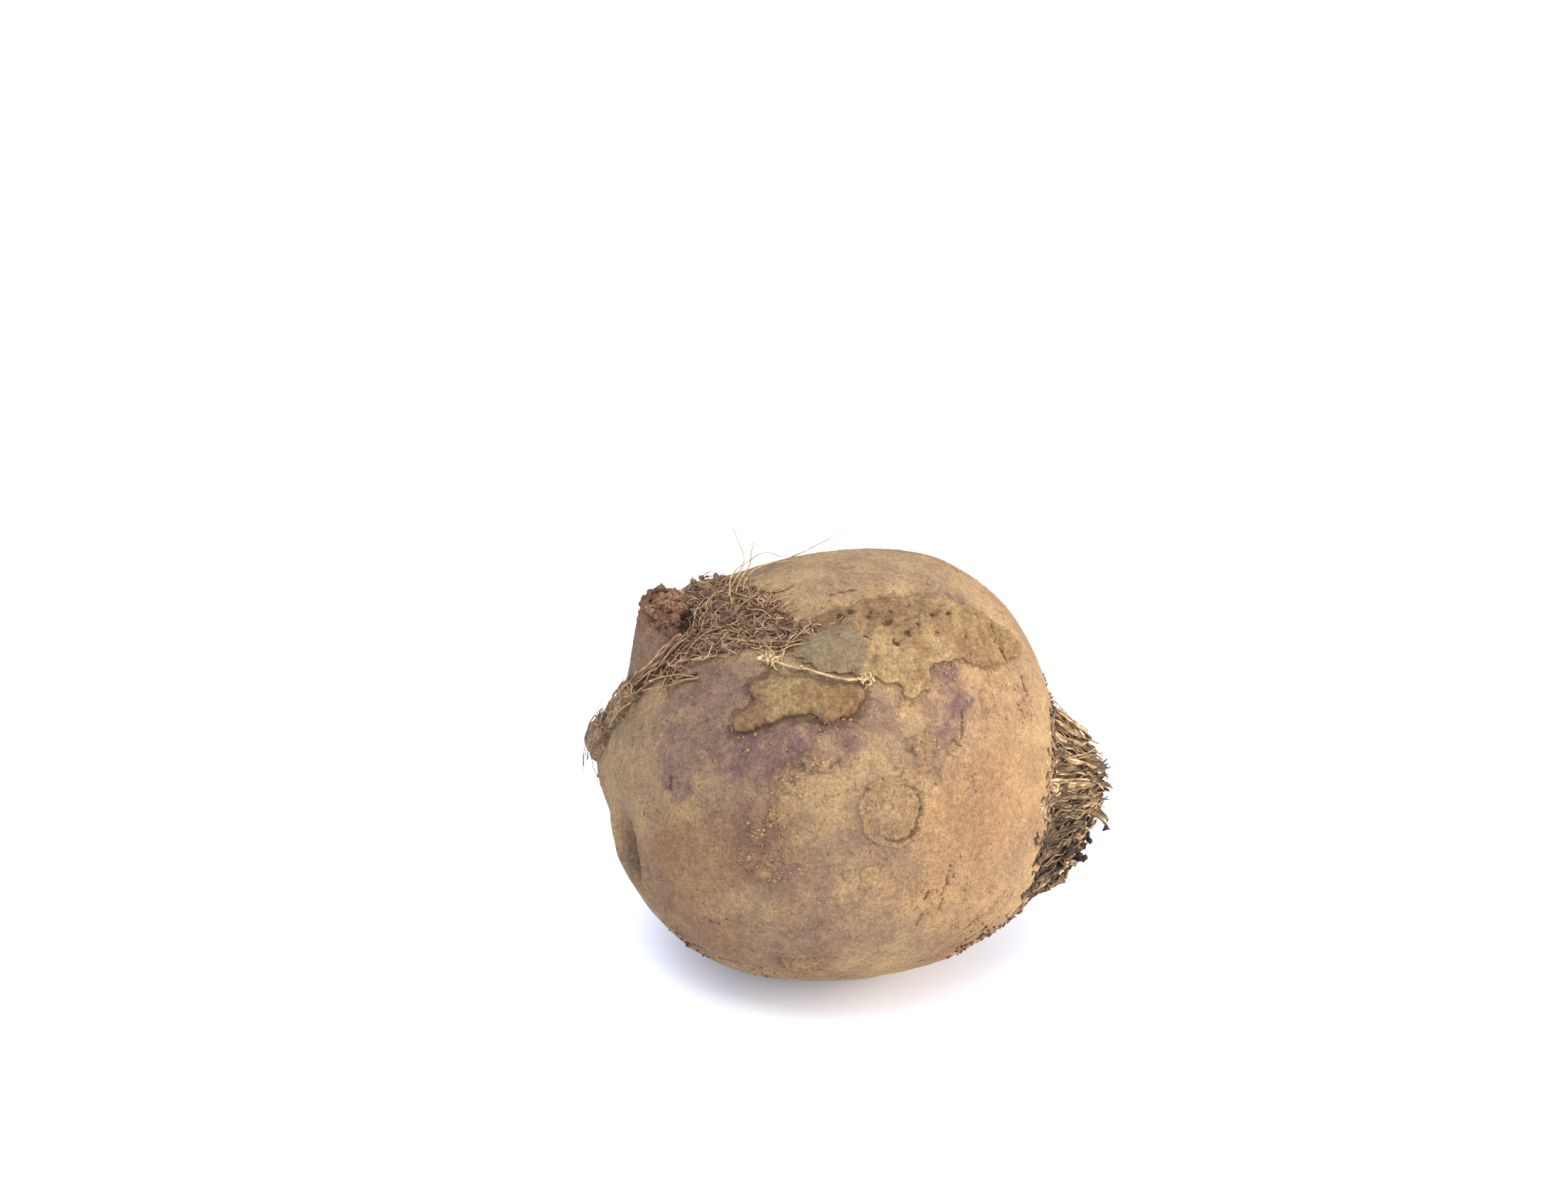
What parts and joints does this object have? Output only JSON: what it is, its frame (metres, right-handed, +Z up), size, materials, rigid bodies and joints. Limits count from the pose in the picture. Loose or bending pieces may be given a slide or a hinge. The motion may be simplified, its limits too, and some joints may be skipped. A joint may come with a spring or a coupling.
{
  "type": "beetroot",
  "caption": "Unwashed beetroot: a dusty globe root with a snapped tail, matted rootlets, dried soil cakes and torn dried leaf bases, lying on a small flat spot.",
  "frame": {"origin": "middle of the small flat spot that the root lies on, on the plane z = 0", "axes": "+Z up, +X from the tail towards the crown of leaf bases, -Y the side seen in the picture"},
  "size_m": [0.1097, 0.09, 0.0924],
  "materials": {
    "beet_skin": "matt skin under a film of dry tan soil, with purple showing through",
    "dried_leaf": "fibrous, torn and dry, tan to nearly black",
    "dried_rootlet": "dry and stringy, dusted with soil",
    "dried_soil": "matt sandy crust",
    "pale_rootlet": "pale dry fibre"
  },
  "bodies": {
    "root": {"beet_root": "beet_skin", "crown_leaf_bases": "dried_leaf", "top_rootlet_mat": "dried_rootlet", "side_rootlet_mat": "dried_rootlet", "upper_soil_cake": "dried_soil", "lower_soil_cake": "dried_soil", "pale_rootlet": "pale_rootlet"}
  },
  "joints": []
}
